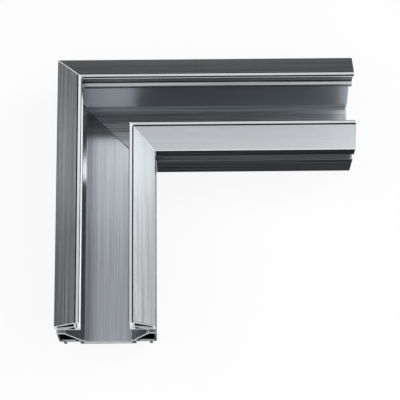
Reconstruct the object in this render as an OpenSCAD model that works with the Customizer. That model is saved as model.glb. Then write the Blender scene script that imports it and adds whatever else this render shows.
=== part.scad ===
// Corner piece for a deep lighting profile, made of two lengths of one hollow extrusion.
// The arms are mitred at 45 degrees and held together by cleats inside their side chambers.
// The arms' centre lines cross at the origin and the back plane is Z = 0.
// The mouth opens towards +Z, the long arm runs along +X and the short arm along -Y.

/* [Arms] */
// Outside length of the long arm, from the outer corner to its cut end
long_arm_l = 152; // [110:0.1:400]
// Outside length of the short arm, from the outer corner to its cut end
short_arm_l = 140.7; // [110:0.1:400]

/* [Profile] */
// Width over the two outer sides
profile_w = 50; // [47:0.5:60]
// Height from the back plane to the front of the nibs
profile_h = 50; // [45:0.5:60]
// Clear width of the mouth between the two nibs
mouth_w = 24.3; // [20:0.1:26]

/* [Flanges] */
// Width of the flat land on the front of each nib
nib_w = 1.75; // [1.2:0.05:2.4]
// Thickness of each nib from front to back
nib_t = 2.6; // [1.6:0.1:3.5]
// Drop of the sloped flange from its nib to its outer edge
flange_drop = 8.65; // [6:0.05:10]
// Height of the flange head from the front of the nibs to the side grooves
head_h = 16.6; // [15:0.1:19]
// Width of the notch that parts each nib from its flange
notch_w = 0.5; // [0.3:0.05:0.6]
// Depth of that notch below the flange
notch_d = 1.2; // [0.6:0.05:1.3]
// Thickness of the sloped front skin
skin_t = 1.5; // [1:0.1:1.8]
// Thickness of the wall behind the flange's outer edge
tip_t = 1.5; // [1:0.1:3]
// Depth of the web inside the head, where it leaves the pocket wall
web_depth = 8.5; // [7:0.1:9.5]
// Angle at which the web falls towards the outer edge
web_angle = 20; // [12:1:24]
// Thickness of the web where it leaves the pocket wall
web_t = 2.5; // [1.5:0.1:3]
// Width of the small chamber under the web
under_web_w = 4.4; // [2:0.1:5]
// Thickness of the bar that closes the back of the head
bar_t = 1.3; // [1:0.1:1.6]

/* [Snap pockets] */
// Sideways depth of the pocket behind each nib
pocket_d = 1.95; // [1:0.05:2.6]
// Thickness of the ledge that closes the pocket at the back, at the mouth
ledge_t = 3.3; // [1.6:0.1:4]
// Rise of the ledge's front face from the mouth to the pocket wall
ledge_rise = 0.45; // [0:0.05:0.8]
// Thickness of the wall between the pocket and the flange chambers
pocket_wall_t = 0.9; // [0.7:0.1:1.4]

/* [Side grooves] */
// Depth of the groove along each outer side
groove_d = 4; // [2.5:0.1:5]
// Height of the groove along each outer side
groove_h = 8.1; // [6:0.1:10]
// Thickness of the neck between the groove and the trough
neck_t = 0.9; // [0.7:0.1:1.5]
// Thickness of the shoulder behind the groove
shoulder_t = 1.9; // [1:0.1:2.5]

/* [Trough] */
// Thickness of the back plate
plate_t = 1.5; // [1:0.1:2.5]
// Width of the recess over the back plate
recess_w = 24.2; // [20:0.1:27]
// Height of the recess over the back plate
recess_h = 4.5; // [3:0.1:6]
// Thickness of the sloped reflector walls
reflector_t = 1; // [0.7:0.1:1.4]

/* [Side chambers] */
// Thickness of the outer side walls
side_wall_t = 1.2; // [0.8:0.1:1.8]
// Thickness of the back wall over the fixing slots
back_wall_t = 1.2; // [0.8:0.1:1.8]
// Thickness of the rib that stands between back wall and reflector
rib_t = 1; // [0.7:0.1:1.4]
// Distance of the rib from the inner foot's outer face
rib_offset = 0.75; // [0.4:0.05:1.5]

/* [Feet] */
// Height of the feet, which is the depth of the fixing slots between them
foot_h = 5; // [4:0.1:7]
// Width of each outer foot
outer_foot_w = 1.65; // [1.2:0.05:2.5]
// Distance of each outer foot from the outer side
outer_foot_inset = 2.1; // [1.5:0.1:2.6]
// Size of the bevel between each outer side and the back wall
base_bevel = 1.2; // [0.4:0.1:1.4]
// Width of each inner foot, which carries the back plate
inner_foot_w = 2.4; // [1.6:0.1:3]

/* [Corner cleats] */
// Thickness of the cleats across the chamber
cleat_t = 3; // [2:0.1:3.4]
// Length of each leg of the cleat on the outside of the corner
outer_cleat_leg = 45; // [30:1:80]
// Length of each leg of the cleat on the inside of the corner
inner_cleat_leg = 30; // [20:1:50]
// Clearance between the cleats and the chamber walls
cleat_gap = 0.15; // [0.05:0.05:0.3]

/* [Hidden] */

aluminium_colour = [0.74, 0.75, 0.77];
cleat_colour = [0.55, 0.56, 0.58];

// Places across the profile, measured from its middle
half_w = profile_w / 2;
mouth_s = mouth_w / 2;
nib_s = mouth_s + nib_w;
pocket_s = mouth_s + pocket_d;
head_chamber_s = pocket_s + pocket_wall_t;
tip_s = half_w - tip_t;
neck_out_s = half_w - groove_d;
neck_in_s = neck_out_s - neck_t;
recess_s = recess_w / 2;
inner_foot_s = recess_s + inner_foot_w;
outer_foot_s = half_w - outer_foot_inset;
slot_s = outer_foot_s - outer_foot_w;
side_chamber_s = half_w - side_wall_t;
rib_in_s = inner_foot_s + rib_offset;
rib_out_s = rib_in_s + rib_t;

// Heights over the back plane
nib_back_z = profile_h - nib_t;
edge_z = profile_h - flange_drop;
head_z = profile_h - head_h;
ledge_z = head_z + ledge_t;
bar_z = head_z + bar_t;
shoulder_z = head_z - groove_h;
slope_top_z = shoulder_z - shoulder_t;
slope_end_z = plate_t + recess_h;
back_wall_z = foot_h + back_wall_t;
corner_void_z = max(back_wall_z, slope_end_z);

// Front face of the sloped flange and the inside of its skin
flange_run = half_w - nib_s;
flange_angle = atan(flange_drop / flange_run);
function flange_z(s) = profile_h - flange_drop * (s - nib_s) / flange_run;
function skin_z(s) = flange_z(s) - skin_t / cos(flange_angle);

// Front face of the web that divides the head
function web_z(s) = profile_h - web_depth - (s - head_chamber_s) * tan(web_angle);

// Outside of the sloped reflector wall, by height and by place
reflector_run = neck_in_s - recess_s;
reflector_rise = slope_top_z - slope_end_z;
reflector_angle = atan(reflector_run / reflector_rise);
reflector_out_s = recess_s + reflector_t / cos(reflector_angle);
function reflector_s(z) = reflector_out_s + reflector_run * (z - slope_end_z) / reflector_rise;
function reflector_z(s) = slope_end_z + reflector_rise * (s - reflector_out_s) / reflector_run;

// Cleats fill the width between side wall and reflector as high as they fit
cleat_out_s = side_chamber_s - cleat_gap;
cleat_in_s = cleat_out_s - cleat_t;
cleat_z = back_wall_z + cleat_gap;
cleat_slope_top_z = reflector_z(cleat_in_s) - cleat_gap / sin(reflector_angle);
cleat_top_z = min(slope_top_z - cleat_gap, cleat_slope_top_z);

// One half of the section, from the back plate up the trough, over the flange and down to the feet
half_outline = [
    [recess_s, plate_t],
    [recess_s, slope_end_z],
    [neck_in_s, slope_top_z],
    [neck_in_s, head_z],
    [mouth_s, head_z],
    [mouth_s, ledge_z],
    [pocket_s, ledge_z + ledge_rise],
    [pocket_s, nib_back_z],
    [mouth_s, nib_back_z],
    [mouth_s, profile_h],
    [nib_s, profile_h],
    [nib_s + notch_w / 2, flange_z(nib_s + notch_w / 2) - notch_d],
    [nib_s + notch_w, flange_z(nib_s + notch_w)],
    [half_w, edge_z],
    [half_w, head_z],
    [neck_out_s, head_z],
    [neck_out_s, shoulder_z],
    [half_w, shoulder_z],
    [half_w, foot_h + base_bevel],
    [half_w - base_bevel, foot_h],
    [outer_foot_s, foot_h],
    [outer_foot_s, 0],
    [slot_s, 0],
    [slot_s, foot_h],
    [inner_foot_s, foot_h],
    [inner_foot_s, 0]
];
mirrored_outline = [for (i = [len(half_outline) - 1 : -1 : 0]) [-half_outline[i][0], half_outline[i][1]]];

// Closed chambers of one half of the section
module chambers() {
    // Chamber behind the sloped front skin
    polygon([
        [head_chamber_s, skin_z(head_chamber_s)],
        [tip_s, skin_z(tip_s)],
        [tip_s, web_z(tip_s)],
        [head_chamber_s, web_z(head_chamber_s)]
    ]);
    // Small chamber under the web
    polygon([
        [head_chamber_s, web_z(head_chamber_s) - web_t],
        [head_chamber_s + under_web_w, bar_z],
        [head_chamber_s, bar_z]
    ]);
    // Side chamber, which takes the cleats
    polygon([
        [side_chamber_s, slope_top_z],
        [reflector_s(slope_top_z), slope_top_z],
        [rib_out_s, reflector_z(rib_out_s)],
        [rib_out_s, back_wall_z],
        [side_chamber_s, back_wall_z]
    ]);
    // Corner between rib, reflector and inner foot
    polygon([
        [rib_in_s, reflector_z(rib_in_s)],
        [reflector_s(corner_void_z), corner_void_z],
        [rib_in_s, corner_void_z]
    ]);
}

// Cross-section of the extrusion
module profile() {
    difference() {
        polygon(concat(half_outline, mirrored_outline));
        chambers();
        mirror([1, 0, 0]) chambers();
    }
}

// Length of the extrusion along +X, cut off by the mitre plane through the origin
module mitred_arm(outside_l) {
    cut = 2 * profile_w;
    difference() {
        translate([-half_w, 0, 0])
            rotate([90, 0, 90])
                linear_extrude(outside_l) profile();
        rotate([0, 0, 45])
            translate([-cut, -cut, -cut / 2])
                cube([cut, 2 * cut, profile_h + cut]);
    }
}

// L-shaped bar; the faces lie at distance near and far from the centre lines, near the inside of the L
module corner_cleat(near, far, leg) {
    translate([0, 0, cleat_z])
        linear_extrude(cleat_top_z - cleat_z)
            polygon([
                [-far, far],
                [leg - far, far],
                [leg - far, near],
                [-near, near],
                [-near, far - leg],
                [-far, far - leg]
            ]);
}

module long_arm() {
    color(aluminium_colour) mitred_arm(long_arm_l);
}

module short_arm() {
    color(aluminium_colour) mirror([1, 1, 0]) mitred_arm(short_arm_l);
}

module outer_cleat() {
    color(cleat_colour) corner_cleat(cleat_in_s, cleat_out_s, outer_cleat_leg);
}

module inner_cleat() {
    color(cleat_colour) corner_cleat(-cleat_out_s, -cleat_in_s, inner_cleat_leg);
}

long_arm();
short_arm();
outer_cleat();
inner_cleat();
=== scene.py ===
"""Mitred corner of a brushed aluminium lighting profile, lying on its back on a pale floor."""
import math

import bpy
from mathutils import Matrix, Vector


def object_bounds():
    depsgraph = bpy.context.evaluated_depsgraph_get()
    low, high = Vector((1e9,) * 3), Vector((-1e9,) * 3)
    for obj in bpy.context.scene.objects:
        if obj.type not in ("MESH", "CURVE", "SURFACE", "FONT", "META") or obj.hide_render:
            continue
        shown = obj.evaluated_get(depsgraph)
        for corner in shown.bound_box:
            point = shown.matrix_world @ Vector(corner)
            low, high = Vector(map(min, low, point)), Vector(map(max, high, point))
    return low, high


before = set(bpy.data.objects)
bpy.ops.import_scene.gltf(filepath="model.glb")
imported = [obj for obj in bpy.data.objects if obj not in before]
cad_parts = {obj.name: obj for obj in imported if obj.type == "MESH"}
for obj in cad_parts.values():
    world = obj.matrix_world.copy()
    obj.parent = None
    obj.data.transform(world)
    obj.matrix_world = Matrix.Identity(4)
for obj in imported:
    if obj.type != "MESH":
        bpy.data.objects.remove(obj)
cad_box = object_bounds()

MM = 0.001
X_AXIS = (1.0, 0.0, 0.0)
Y_AXIS = (0.0, 1.0, 0.0)

# Camera: aim on the object, then tilt from straight down with a slight turn and roll, in degrees
CAMERA_AIM = (0.04774, -0.04622, 0.025)
CAMERA_DISTANCE = 0.86109
CAMERA_ANGLES = (16.8476, -0.0653, -0.546)
CAMERA_LENS = 150.65
CAMERA_SENSOR = 36.0

# Places across the section, as in the solids, measured from its middle
HALF_WIDTH = -cad_box[0][0]
NIB_INNER = 12.15 * MM
NIB_OUTER = 13.9 * MM
NOTCH_OUTER = 14.4 * MM
POCKET_BACK = 14.1 * MM
CHAMBER_INNER = 15.0 * MM
CHAMBER_OUTER = 23.8 * MM
TROUGH_EDGE = 20.5 * MM
REFLECTOR_FOOT = 12.6 * MM
REFLECTOR_RUN = 8.0 * MM

# Heights over the back plane
HEIGHT = cad_box[1][2]
NIB_BACK = 47.4 * MM
NIB_LIP = HEIGHT - 1.3 * MM
FLANGE_EDGE = 41.35 * MM
LEDGE_TOP = 36.7 * MM
LEDGE_RISE = 0.45 * MM
LEDGE_CREST = LEDGE_TOP + 0.55 * MM
POCKET_CORNER_TOP = LEDGE_TOP + LEDGE_RISE + 1.0 * MM
HEAD_BACK = 33.4 * MM
HEAD_BAR_TOP = HEAD_BACK + 1.0 * MM
SHOULDER_TOP = 25.3 * MM
SLOPE_TOP = 23.4 * MM
SLOPE_END = 6.0 * MM
REFLECTOR_LEAN = REFLECTOR_RUN / (SLOPE_TOP - SLOPE_END)

# Depths below the sloped front of the flange; the trough's finish comes in over the last range
NOTCH_DEPTH = 1.6 * MM
SKIN = 1.9 * MM
TROUGH_DEPTH = (2.0 * MM, 3.0 * MM)

# Widths of the painted highlight and painted shade lines along edges, and how far a finish or a painted
# shade reaches past its own face
RIM = {"long_arm": 0.35 * MM, "short_arm": 0.15 * MM}
OUTER_RIM = 0.45 * MM
UNDER_RIM = 0.7 * MM
# Width of the painted highlight band on the back plate near each cut end
END_HIGHLIGHT = {"long_arm": 0.5 * MM, "short_arm": 0.9 * MM}
END_HIGHLIGHT_SOFTNESS = 0.4 * MM
MITRE_LINE = (0.3 * MM, 0.45 * MM)
HALF_WALL = 0.5 * MM
SMALL_REACH = 0.1 * MM
EDGE_REACH = 0.15 * MM
REACH = 0.2 * MM
WIDE_REACH = 0.3 * MM
SOFTNESS = 0.05 * MM
CUT_END = {"long_arm": cad_box[1][0], "short_arm": -cad_box[0][1]}

# Rounding of the extrusion's edges
EDGE_ROUND = 0.2 * MM
EDGE_SEGMENTS = 2
EDGE_ANGLE = 20
WELD_DISTANCE = 0.002 * MM
NORMAL_WEIGHT = 50

# Metal colours, linear; the side, shade and deep shade colours are painted shade, and the lit and highlight
# colours are painted highlights
FLANGE_METAL = (0.43, 0.45, 0.467, 1.0)
TROUGH_METAL = (0.424, 0.45, 0.474, 1.0)
# Painted shade: the side walls and the head's sides get a darker metal colour that stands for their dark
# reflections
SIDE_SHADE_METAL = (0.245, 0.25, 0.258, 1.0)
HEAD_SIDE_SHADE_METAL = (0.21, 0.215, 0.222, 1.0)
LIT_LAND_METAL = (0.60, 0.62, 0.634, 1.0)
LIT_LEDGE_METAL = (0.50, 0.512, 0.523, 1.0)
# Bare sawn metal, also used as a painted highlight on the nib lips, the mitre and near the cut ends
BARE_AND_HIGHLIGHT_METAL = (0.88, 0.90, 0.92, 1.0)
RIM_HIGHLIGHT_METAL = (0.70, 0.72, 0.735, 1.0)
SHADE_METAL = (0.20, 0.21, 0.222, 1.0)
# Painted deep shade for corners, grooves, chambers and dark edge lines
DEEP_SHADE_METAL = (0.03, 0.032, 0.035, 1.0)
CLEAT_METAL = (0.33, 0.345, 0.36, 1.0)
# Grazing tint of the reflections; the black one goes with the painted shade zones and darkens their grazing
# reflections too
GRAZING_TINT = (0.7, 0.7, 0.7, 1.0)
DARK_GRAZING_TINT = (0.0, 0.0, 0.0, 1.0)

# Colour and roughness of the parts of the section that differ from the flanges and the trough; most of
# these colours are painted shade or painted highlights
FINISHES_AND_PAINTED_LIGHT = {
    # Painted shade on the side walls and the head's sides
    "side": (SIDE_SHADE_METAL, 0.17),
    "head_side": (HEAD_SIDE_SHADE_METAL, 0.17),
    # Painted shade: a black band on the side just under the flange's edge
    "under_rim": (DEEP_SHADE_METAL, 0.3),
    # Painted highlight: a light line along the inner flange's lower edge
    "rim": (RIM_HIGHLIGHT_METAL, 0.3),
    # Painted shade: a dark line along the outer flange's edge
    "outer_rim": (SHADE_METAL, 0.3),
    # Painted highlight: the nib's flat land gets a lighter metal colour than the flanges
    "land": (LIT_LAND_METAL, 0.22),
    # Painted shade: the pocket under the nib is darkened
    "pocket": (SHADE_METAL, 0.25),
    # Painted highlight: the ledge inside the pocket gets a lighter metal colour
    "ledge": (LIT_LEDGE_METAL, 0.25),
    # Painted shade: a black line at the foot of the pocket
    "pocket_corner": (DEEP_SHADE_METAL, 0.4),
    # Painted shade: the ledge's inner face is darkened
    "ledge_face": (HEAD_SIDE_SHADE_METAL, 0.4),
    # Bare metal on the nib's inner face, made light as a painted highlight
    "nib_lip": (BARE_AND_HIGHLIGHT_METAL, 0.9),
    # Painted shade: a black line along the nib's inner edge
    "nib_edge": (DEEP_SHADE_METAL, 0.4),
    # Painted shade: the notch between nib and flange is blackened
    "notch": (DEEP_SHADE_METAL, 0.5),
    # Painted shade: the hollow chambers, seen at the cut ends, are blackened
    "head_chamber": (DEEP_SHADE_METAL, 0.5),
    "side_chamber": (DEEP_SHADE_METAL, 0.5),
}
# Zones of painted shade, whose grazing reflections are blacked out as well
DARK_ZONES = ("side", "nib_edge", "notch", "pocket_corner", "head_chamber", "side_chamber")
FLANGE_ROUGHNESS = 0.21
TROUGH_ROUGHNESS = {"long_arm": 0.29, "short_arm": 0.19}
WALL_ROUGHNESS = {"long_arm": 0.34, "short_arm": 0.13}
CUT_ROUGHNESS = 0.4
BARE_ROUGHNESS = 0.9
TROUGH_METALLIC = 0.9

# Brushing: length and width of its streaks, their shares, and how far they change colour and roughness
FINE_STREAKS = (80 * MM, 0.5 * MM)
MIDDLE_STREAKS = (300 * MM, 1.0 * MM)
BROAD_STREAKS = (400 * MM, 2.2 * MM)
SAW_MARKS = (30 * MM, 0.4 * MM)
FINE_SHARE = 0.7
MIDDLE_SHARE = 0.2
BROAD_SHARE = 0.1
SAW_SPREAD = 0.12
ROUGHNESS_SPREAD = 0.04
NOISE_DETAIL = 3.0
NOISE_ROUGHNESS = 0.6

# How strongly the brushing shows on the outer flange, the inner flange, the back plate and the sloped walls
STREAKS = {"long_arm": (0.12, 0.02, 0.40, 0.03), "short_arm": (0.18, 0.04, 0.18, 0.03)}
SIDE_STREAK = 0.2
RELIEF = 1.5
FINE_RELIEF = 0.02 * MM
MIDDLE_RELIEF = 0.03 * MM
FLANGE_ANISOTROPY = 0.7
TROUGH_ANISOTROPY = {"long_arm": 0.2, "short_arm": 0.7}
BRUSH_ROTATION = 0.25
BRUSH_TILT = (0.02, 0.02, 0.01)

# Floor: white round the object, grey further off
FLOOR_SIZE = 6.0
FLOOR_FADE = (0.15, 0.30)
FLOOR_NEAR = (0.978, 0.978, 0.978, 1.0)
FLOOR_FAR = (0.158, 0.158, 0.158, 1.0)
FLOOR_GLOW = 0.9

# Studio: level of the surroundings, and distances of the lamps overhead, aslant and low down
WORLD_COLOUR = (0.02, 0.02, 0.02, 1.0)
OVERHEAD = 1.25
ASLANT = 1.2
LOW_DOWN = 1.1


def new_tree(name):
    """An empty material and its node tree."""
    material = bpy.data.materials.new(name)
    material.use_nodes = True
    material.node_tree.nodes.clear()
    return material, material.node_tree


def plug(tree, socket, value):
    """Links or sets one input socket."""
    if isinstance(value, bpy.types.NodeSocket):
        tree.links.new(value, socket)
    else:
        socket.default_value = value


def add(tree, kind, settings=None, **inputs):
    """A node of this kind; each input is a value or the socket that feeds it."""
    made = tree.nodes.new(kind)
    for key, value in (settings or {}).items():
        setattr(made, key, value)
    for key, value in inputs.items():
        plug(tree, made.inputs[key.replace("_", " ")], value)
    return made


def finish_material(tree, shader):
    """Sends a shader to the material's output."""
    output = add(tree, "ShaderNodeOutputMaterial")
    tree.links.new(shader.outputs[0], output.inputs[0])


def maths(tree, operation, *values):
    """A math node's result."""
    made = tree.nodes.new("ShaderNodeMath")
    made.operation = operation
    for socket, value in zip(made.inputs, values):
        plug(tree, socket, value)
    return made.outputs[0]


def blend(tree, factor, low, high):
    """A colour between low and high."""
    made = tree.nodes.new("ShaderNodeMix")
    made.data_type = "RGBA"
    plug(tree, made.inputs[0], factor)
    plug(tree, made.inputs[6], low)
    plug(tree, made.inputs[7], high)
    return made.outputs[2]


def scaled(tree, colour, factor):
    """A colour made lighter or darker."""
    made = add(tree, "ShaderNodeVectorMath", {"operation": "SCALE"}, Scale=factor)
    plug(tree, made.inputs[0], colour)
    return made.outputs[0]


def towards(tree, factor, value, goal):
    """A number drawn from value to goal."""
    made = tree.nodes.new("ShaderNodeMix")
    plug(tree, made.inputs[0], factor)
    plug(tree, made.inputs[2], value)
    plug(tree, made.inputs[3], goal)
    return made.outputs[0]


def ramp(tree, value, low, high, to_low, to_high):
    """value mapped smoothly from low..high to to_low..to_high."""
    made = add(tree, "ShaderNodeMapRange", {"interpolation_type": "SMOOTHSTEP"}, Value=value)
    made.inputs["From Min"].default_value = low
    made.inputs["From Max"].default_value = high
    made.inputs["To Min"].default_value = to_low
    made.inputs["To Max"].default_value = to_high
    return made.outputs[0]


def above(tree, value, edge, soft=SOFTNESS):
    """Mask that is 1 where value is over the edge."""
    return ramp(tree, value, edge - soft, edge + soft, 0.0, 1.0)


def below(tree, value, edge, soft=SOFTNESS):
    """Mask that is 1 where value is under the edge."""
    return ramp(tree, value, edge - soft, edge + soft, 1.0, 0.0)


def every(tree, first, *others):
    """Mask that is 1 where all of these are."""
    for other in others:
        first = maths(tree, "MULTIPLY", first, other)
    return first


def either(tree, first, *others):
    """Mask that is 1 where any of these is."""
    for other in others:
        first = maths(tree, "MAXIMUM", first, other)
    return first


def between(tree, value, low, high):
    """Mask that is 1 where value lies between two edges."""
    return every(tree, above(tree, value, low), below(tree, value, high))


def streaks(tree, place, along, size):
    """Noise drawn out along one axis; size is the streaks' length and width."""
    length, width = size
    scale = [1.0 / width] * 3
    scale[along] = 1.0 / length
    stretched = add(tree, "ShaderNodeMapping", Vector=place, Scale=scale)
    noise = add(tree, "ShaderNodeTexNoise", Vector=stretched.outputs[0], Scale=1.0,
                Detail=NOISE_DETAIL, Roughness=NOISE_ROUGHNESS)
    return noise.outputs[0]


def section_masks(tree, place, node, along, outer_sign):
    """Masks, by name, for the parts of the section that have a finish, a painted shade or a painted
    highlight of their own.
    """
    parts = add(tree, "ShaderNodeSeparateXYZ", Vector=place)
    across = parts.outputs[1 - along]
    off = maths(tree, "ABSOLUTE", across)
    up = parts.outputs[2]

    # Depth below the flange's front, distance behind the reflector's middle, distance from the mitre
    fall = (HEIGHT - FLANGE_EDGE) / (HALF_WIDTH - NIB_OUTER)
    past_nib = maths(tree, "SUBTRACT", off, NIB_OUTER)
    front = maths(tree, "MULTIPLY_ADD", past_nib, -fall, HEIGHT)
    depth = maths(tree, "SUBTRACT", front, up)
    climb = maths(tree, "SUBTRACT", up, SLOPE_END)
    reflector_middle = maths(tree, "MULTIPLY_ADD", climb, REFLECTOR_LEAN, REFLECTOR_FOOT)
    behind = maths(tree, "SUBTRACT", off, reflector_middle)
    from_mitre = maths(tree, "ABSOLUTE", maths(tree, "ADD", parts.outputs[0], parts.outputs[1]))

    # Outside of the arm, with the strips that carry painted shade and a painted highlight along the
    # flange's edge
    outer = above(tree, maths(tree, "MULTIPLY", across, outer_sign), NIB_OUTER)
    inner = below(tree, outer, 0.5, 0.1)
    side = above(tree, off, HALF_WIDTH - SMALL_REACH)
    rim_strip = between(tree, off, HALF_WIDTH - RIM[node], HALF_WIDTH - SMALL_REACH)
    outer_strip = above(tree, off, HALF_WIDTH - OUTER_RIM)
    mask = {
        "outer": outer,
        "side": side,
        "head_side": every(tree, side, above(tree, up, HEAD_BACK)),
        "under_rim": every(tree, side, above(tree, up, FLANGE_EDGE - UNDER_RIM)),
        "rim": every(tree, rim_strip, above(tree, up, FLANGE_EDGE - EDGE_REACH), inner),
        "outer_rim": every(tree, outer, outer_strip, above(tree, up, FLANGE_EDGE - REACH)),
    }

    # Nibs, notches, pockets and ledges at the mouth, most of them with painted shade or painted highlights
    mouth_face = below(tree, off, NIB_INNER + WIDE_REACH)
    notch = between(tree, off, NIB_OUTER - REACH, NOTCH_OUTER)
    pocket = between(tree, off, NIB_INNER + SMALL_REACH, POCKET_BACK + WIDE_REACH)
    pocket_corner = between(tree, off, POCKET_BACK - WIDE_REACH, POCKET_BACK + WIDE_REACH)
    corner_height = between(tree, up, LEDGE_TOP + REACH, POCKET_CORNER_TOP)
    ledge_height = between(tree, up, LEDGE_TOP - WIDE_REACH, LEDGE_CREST)
    ledge_face_height = between(tree, up, HEAD_BACK - REACH, LEDGE_TOP - EDGE_REACH)
    mask["land"] = every(tree, below(tree, off, NIB_OUTER), above(tree, up, HEIGHT - SMALL_REACH))
    mask["nib_lip"] = every(tree, mouth_face, between(tree, up, NIB_BACK - REACH, NIB_LIP))
    mask["nib_edge"] = every(tree, mouth_face, above(tree, up, NIB_LIP))
    mask["notch"] = every(tree, notch, below(tree, depth, NOTCH_DEPTH))
    mask["pocket"] = every(tree, pocket, between(tree, up, LEDGE_TOP + REACH, NIB_BACK))
    mask["pocket_corner"] = every(tree, pocket_corner, corner_height)
    mask["ledge"] = every(tree, below(tree, off, POCKET_BACK + REACH), ledge_height)
    mask["ledge_face"] = every(tree, mouth_face, ledge_face_height)

    # Trough and closed chambers; the chambers carry painted shade
    in_depth = ramp(tree, depth, *TROUGH_DEPTH, 0.0, 1.0)
    inside = every(tree, in_depth, below(tree, off, TROUGH_EDGE, REACH))
    head_chamber = between(tree, off, CHAMBER_INNER - REACH, CHAMBER_OUTER)
    side_chamber = every(tree, above(tree, behind, 0.0), below(tree, off, CHAMBER_OUTER + WIDE_REACH))
    side_chamber_height = between(tree, up, SLOPE_END - HALF_WALL, SLOPE_TOP + WIDE_REACH)
    mask["inside"] = inside
    mask["wall"] = every(tree, inside, between(tree, up, SLOPE_END, HEAD_BACK))
    mask["head_chamber"] = every(tree, head_chamber, above(tree, depth, SKIN - REACH),
                                 above(tree, up, HEAD_BAR_TOP))
    mask["side_chamber"] = every(tree, side_chamber, side_chamber_height)

    # Mitre line and the parts of the square cut; the cut's low part carries painted shade
    over_plate = above(tree, up, SLOPE_END)
    in_reflector = below(tree, maths(tree, "ABSOLUTE", behind), HALF_WALL)
    shoulder_height = between(tree, up, SLOPE_TOP, SHOULDER_TOP)
    mask["mitre"] = every(tree, ramp(tree, from_mitre, *MITRE_LINE, 1.0, 0.0), over_plate)
    mask["low"] = below(tree, up, HEAD_BACK - WIDE_REACH)
    mask["shoulder"] = every(tree, above(tree, off, TROUGH_EDGE), shoulder_height)
    mask["floors"] = below(tree, up, SLOPE_END + HALF_WALL)
    mask["reflector"] = every(tree, in_reflector, over_plate)
    return mask


def cut_masks(tree, place, node, axis, mask):
    """Masks of the square cut end, and of the light lines along the mitre, bare metal that is also a
    painted highlight, and near the cut end, a painted highlight on the back plate.
    """
    along = axis.index(1.0)
    normal = add(tree, "ShaderNodeNewGeometry").outputs["Normal"]
    facing = add(tree, "ShaderNodeVectorMath", {"operation": "DOT_PRODUCT"})
    plug(tree, facing.inputs[0], normal)
    plug(tree, facing.inputs[1], axis)
    cut = ramp(tree, maths(tree, "ABSOLUTE", facing.outputs["Value"]), 0.85, 0.95, 0.0, 1.0)
    parts = add(tree, "ShaderNodeSeparateXYZ", Vector=place)
    reach = maths(tree, "ABSOLUTE", parts.outputs[along])
    # Painted highlight: a light band on the back plate near the cut end
    near_end = above(tree, reach, CUT_END[node] - END_HIGHLIGHT[node], END_HIGHLIGHT_SOFTNESS)
    end_highlight = every(tree, near_end, mask["floors"])
    not_cut = maths(tree, "SUBTRACT", 1.0, cut)
    return cut, every(tree, either(tree, mask["mitre"], end_highlight), not_cut)


def streak_strength(tree, node, mask):
    """How strongly the brushing shows at each place."""
    outer, inner, plate, wall = STREAKS[node]
    strength = towards(tree, mask["outer"], inner, outer)
    strength = towards(tree, mask["inside"], strength, plate)
    strength = towards(tree, mask["wall"], strength, wall)
    return towards(tree, mask["side"], strength, SIDE_STREAK)


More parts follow.
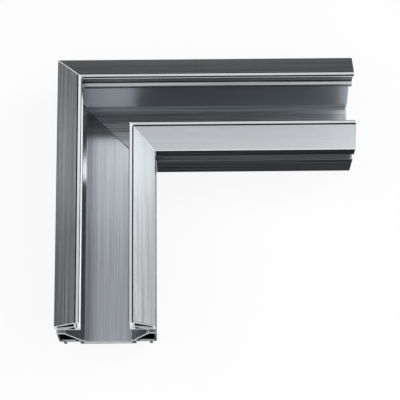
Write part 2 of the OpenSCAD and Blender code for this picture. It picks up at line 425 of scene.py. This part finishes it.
def brushed_aluminium(node, axis, outer_sign):
    """Aluminium brushed along one arm, with painted shade on its sides, in its cavities and along some
    edges, painted highlights on some faces and edges, and sawn at the cuts.
    """
    material, tree = new_tree("brushed_" + node)
    along = axis.index(1.0)
    place = add(tree, "ShaderNodeTexCoord").outputs["Object"]
    mask = section_masks(tree, place, node, along, outer_sign)
    cut, bare_and_highlight = cut_masks(tree, place, node, axis, mask)

    # Brushing
    fine = streaks(tree, place, along, FINE_STREAKS)
    middle = streaks(tree, place, along, MIDDLE_STREAKS)
    broad = streaks(tree, place, along, BROAD_STREAKS)
    strength = streak_strength(tree, node, mask)
    grain = maths(tree, "MULTIPLY_ADD", fine, FINE_SHARE, maths(tree, "MULTIPLY", broad, BROAD_SHARE))
    grain = maths(tree, "MULTIPLY_ADD", middle, MIDDLE_SHARE, grain)
    grain = ramp(tree, grain, 0.35, 0.65, -1.0, 1.0)
    shade = maths(tree, "MULTIPLY_ADD", grain, strength, 1.0)
    uneven = ramp(tree, fine, 0.25, 0.75, -ROUGHNESS_SPREAD, ROUGHNESS_SPREAD)

    # Colour and roughness by part of the section, with the painted shade and painted highlights of the
    # zones
    colour = blend(tree, mask["inside"], FLANGE_METAL, TROUGH_METAL)
    rough = towards(tree, mask["inside"], FLANGE_ROUGHNESS, TROUGH_ROUGHNESS[node])
    rough = towards(tree, mask["wall"], rough, WALL_ROUGHNESS[node])
    for zone, (metal, goal) in FINISHES_AND_PAINTED_LIGHT.items():
        colour = blend(tree, mask[zone], colour, metal)
        rough = towards(tree, mask[zone], rough, goal)
    colour = scaled(tree, colour, shade)
    rough = maths(tree, "ADD", rough, uneven)

    # Cut end with saw marks and painted shade on its lower part, then the light lines: bare metal and
    # painted highlight along the mitre, painted highlight near the cut end
    saw = ramp(tree, streaks(tree, place, 1 - along, SAW_MARKS), 0.3, 0.7, -SAW_SPREAD, SAW_SPREAD)
    # Painted shade: the cut face is dark below the head, a middle tone at the shoulder and bare only at the
    # reflector's wall
    cut_metal = blend(tree, mask["low"], BARE_AND_HIGHLIGHT_METAL, DEEP_SHADE_METAL)
    cut_metal = blend(tree, mask["shoulder"], cut_metal, LIT_LAND_METAL)
    cut_metal = blend(tree, mask["reflector"], cut_metal, BARE_AND_HIGHLIGHT_METAL)
    colour = blend(tree, cut, colour, scaled(tree, cut_metal, maths(tree, "ADD", saw, 1.0)))
    # Painted highlight, also bare metal along the mitre: a light line along the mitre and a light band near
    # the cut end
    colour = blend(tree, bare_and_highlight, colour, BARE_AND_HIGHLIGHT_METAL)
    rough = towards(tree, cut, rough, maths(tree, "ADD", saw, CUT_ROUGHNESS))
    rough = towards(tree, bare_and_highlight, rough, BARE_ROUGHNESS)

    # Relief and direction of the brushing
    relief = maths(tree, "MULTIPLY", strength, RELIEF)
    fine_bump = add(tree, "ShaderNodeBump", Height=fine, Strength=relief, Distance=FINE_RELIEF)
    bump = add(tree, "ShaderNodeBump", Height=middle, Strength=relief, Distance=MIDDLE_RELIEF,
               Normal=fine_bump.outputs[0])
    tangent = add(tree, "ShaderNodeCombineXYZ")
    for socket, part, tilt in zip(tangent.inputs, axis, BRUSH_TILT):
        socket.default_value = part + tilt
    brushing = towards(tree, mask["inside"], FLANGE_ANISOTROPY, TROUGH_ANISOTROPY[node])
    unbrushed = either(tree, bare_and_highlight, cut, mask["ledge"])

    # Painted shade zones get a black grazing tint
    dark = either(tree, *(mask[zone] for zone in DARK_ZONES))
    shader = add(tree, "ShaderNodeBsdfPrincipled", Base_Color=colour, Roughness=rough,
                 Metallic=ramp(tree, mask["inside"], 0.0, 1.0, 1.0, TROUGH_METALLIC),
                 Specular_Tint=blend(tree, dark, GRAZING_TINT, DARK_GRAZING_TINT),
                 Anisotropic=towards(tree, unbrushed, brushing, 0.0),
                 Anisotropic_Rotation=BRUSH_ROTATION, Tangent=tangent.outputs[0],
                 Normal=bump.outputs[0])
    finish_material(tree, shader)
    return material


def mill_aluminium(name):
    """Plain unbrushed aluminium for the hidden cleats."""
    material, tree = new_tree(name)
    place = add(tree, "ShaderNodeTexCoord").outputs["Object"]
    cloud = add(tree, "ShaderNodeTexNoise", Vector=place, Scale=400.0, Detail=4.0,
                Roughness=NOISE_ROUGHNESS)
    colour = blend(tree, cloud.outputs[0], CLEAT_METAL, FLANGE_METAL)
    rough = ramp(tree, cloud.outputs[0], 0.3, 0.7, 0.38, 0.5)
    bump = add(tree, "ShaderNodeBump", Height=cloud.outputs[0], Strength=0.1, Distance=0.05 * MM)
    shader = add(tree, "ShaderNodeBsdfPrincipled", Base_Color=colour, Roughness=rough, Metallic=1.0,
                 Normal=bump.outputs[0])
    finish_material(tree, shader)
    return material


def dress(node, material):
    """Gives a CAD node its material."""
    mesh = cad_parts[node].data
    mesh.materials.clear()
    mesh.materials.append(material)


def round_edges(node):
    """Breaks the sharp edges of an extruded node, as the real extrusion has them."""
    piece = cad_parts[node]
    weld = piece.modifiers.new("weld", "WELD")
    weld.merge_threshold = WELD_DISTANCE
    bevel = piece.modifiers.new("edges", "BEVEL")
    bevel.width = EDGE_ROUND
    bevel.segments = EDGE_SEGMENTS
    bevel.limit_method = "ANGLE"
    bevel.angle_limit = math.radians(EDGE_ANGLE)
    shade = piece.modifiers.new("shade", "WEIGHTED_NORMAL")
    shade.mode = "FACE_AREA"
    shade.weight = NORMAL_WEIGHT
    shade.keep_sharp = False


def floor():
    """Pale floor that fades to grey away from the object and shows its shadow."""
    bpy.ops.mesh.primitive_plane_add(size=FLOOR_SIZE, location=(CAMERA_AIM[0], CAMERA_AIM[1], 0.0))
    plane = bpy.context.object
    plane.name = "floor"
    material, tree = new_tree("floor")
    place = add(tree, "ShaderNodeTexCoord").outputs["Object"]
    reach = add(tree, "ShaderNodeVectorMath", {"operation": "LENGTH"})
    plug(tree, reach.inputs[0], place)
    fade = ramp(tree, reach.outputs["Value"], *FLOOR_FADE, 0.0, 1.0)
    colour = blend(tree, fade, FLOOR_NEAR, FLOOR_FAR)
    lit = add(tree, "ShaderNodeBsdfDiffuse", Color=colour)
    white = add(tree, "ShaderNodeEmission", Color=colour, Strength=1.0)
    rays = add(tree, "ShaderNodeLightPath").outputs
    seen = either(tree, rays["Is Camera Ray"], rays["Is Glossy Ray"], rays["Is Transmission Ray"])
    shader = add(tree, "ShaderNodeMixShader")
    plug(tree, shader.inputs[0], maths(tree, "MULTIPLY", seen, FLOOR_GLOW))
    tree.links.new(lit.outputs[0], shader.inputs[1])
    tree.links.new(white.outputs[0], shader.inputs[2])
    finish_material(tree, shader)
    plane.data.materials.append(material)


def softbox(name, direction, distance, width, height, radiance):
    """Rectangular lamp that looks at the object from a direction; radiance 1 is white."""
    lamp = bpy.data.lights.new(name, "AREA")
    lamp.shape = "RECTANGLE"
    lamp.size = width
    lamp.size_y = height
    lamp.energy = radiance * math.pi * width * height
    obj = bpy.data.objects.new(name, lamp)
    bpy.context.scene.collection.objects.link(obj)
    away = Vector(direction).normalized()
    obj.location = Vector(CAMERA_AIM) + away * distance
    obj.rotation_euler = away.to_track_quat("Z", "Y").to_euler()


def studio():
    """Softboxes all round, in dark surroundings."""
    world = bpy.data.worlds.new("studio")
    world.use_nodes = True
    world.node_tree.nodes["Background"].inputs["Color"].default_value = WORLD_COLOUR
    bpy.context.scene.world = world
    softbox("over_back", (0.0, 0.40, 0.92), OVERHEAD, 1.0, 0.34, 1.3)
    softbox("over", (0.0, 0.13, 0.99), OVERHEAD, 1.0, 0.34, 0.8)
    softbox("over_front", (0.0, -0.27, 0.96), OVERHEAD, 1.8, 0.65, 0.9)
    softbox("over_right", (0.42, 0.29, 0.86), OVERHEAD, 0.4, 0.5, 1.1)
    softbox("left_top", (-0.72, 0.05, 0.69), ASLANT, 1.3, 0.8, 2.1)
    softbox("right_top", (0.72, 0.05, 0.69), ASLANT, 1.3, 0.8, 2.0)
    softbox("right_high", (0.73, 0.26, 0.64), ASLANT, 0.4, 0.4, 5.0)
    softbox("right_back", (0.78, 0.58, 0.25), LOW_DOWN, 0.7, 0.6, 1.1)
    softbox("right", (0.96, 0.05, 0.27), LOW_DOWN, 0.7, 0.6, 0.5)
    softbox("front", (0.10, -0.83, 0.56), LOW_DOWN, 0.6, 0.6, 0.9)
    softbox("front_right", (0.42, -0.73, 0.54), LOW_DOWN, 0.6, 0.6, 0.5)
    softbox("front_low", (0.10, -0.96, 0.26), LOW_DOWN, 1.2, 0.5, 2.0)
    softbox("left", (-0.97, 0.05, 0.2), LOW_DOWN, 0.7, 0.5, 0.15)
    softbox("left_back", (-0.82, 0.53, 0.22), LOW_DOWN, 0.7, 0.5, 0.25)


def camera():
    """Camera at the photograph's viewing angle."""
    lens = bpy.data.cameras.new("camera")
    lens.sensor_width = CAMERA_SENSOR
    lens.lens = CAMERA_LENS
    obj = bpy.data.objects.new("camera", lens)
    bpy.context.scene.collection.objects.link(obj)
    obj.rotation_euler = [math.radians(a) for a in CAMERA_ANGLES]
    away = obj.rotation_euler.to_matrix() @ Vector((0.0, 0.0, 1.0))
    obj.location = Vector(CAMERA_AIM) + away * CAMERA_DISTANCE
    bpy.context.scene.camera = obj


camera()
floor()
studio()
dress("long_arm", brushed_aluminium("long_arm", X_AXIS, 1.0))
dress("short_arm", brushed_aluminium("short_arm", Y_AXIS, -1.0))
mill = mill_aluminium("mill")
dress("outer_cleat", mill)
dress("inner_cleat", mill)
round_edges("long_arm")
round_edges("short_arm")
bpy.context.scene.view_settings.view_transform = "Standard"
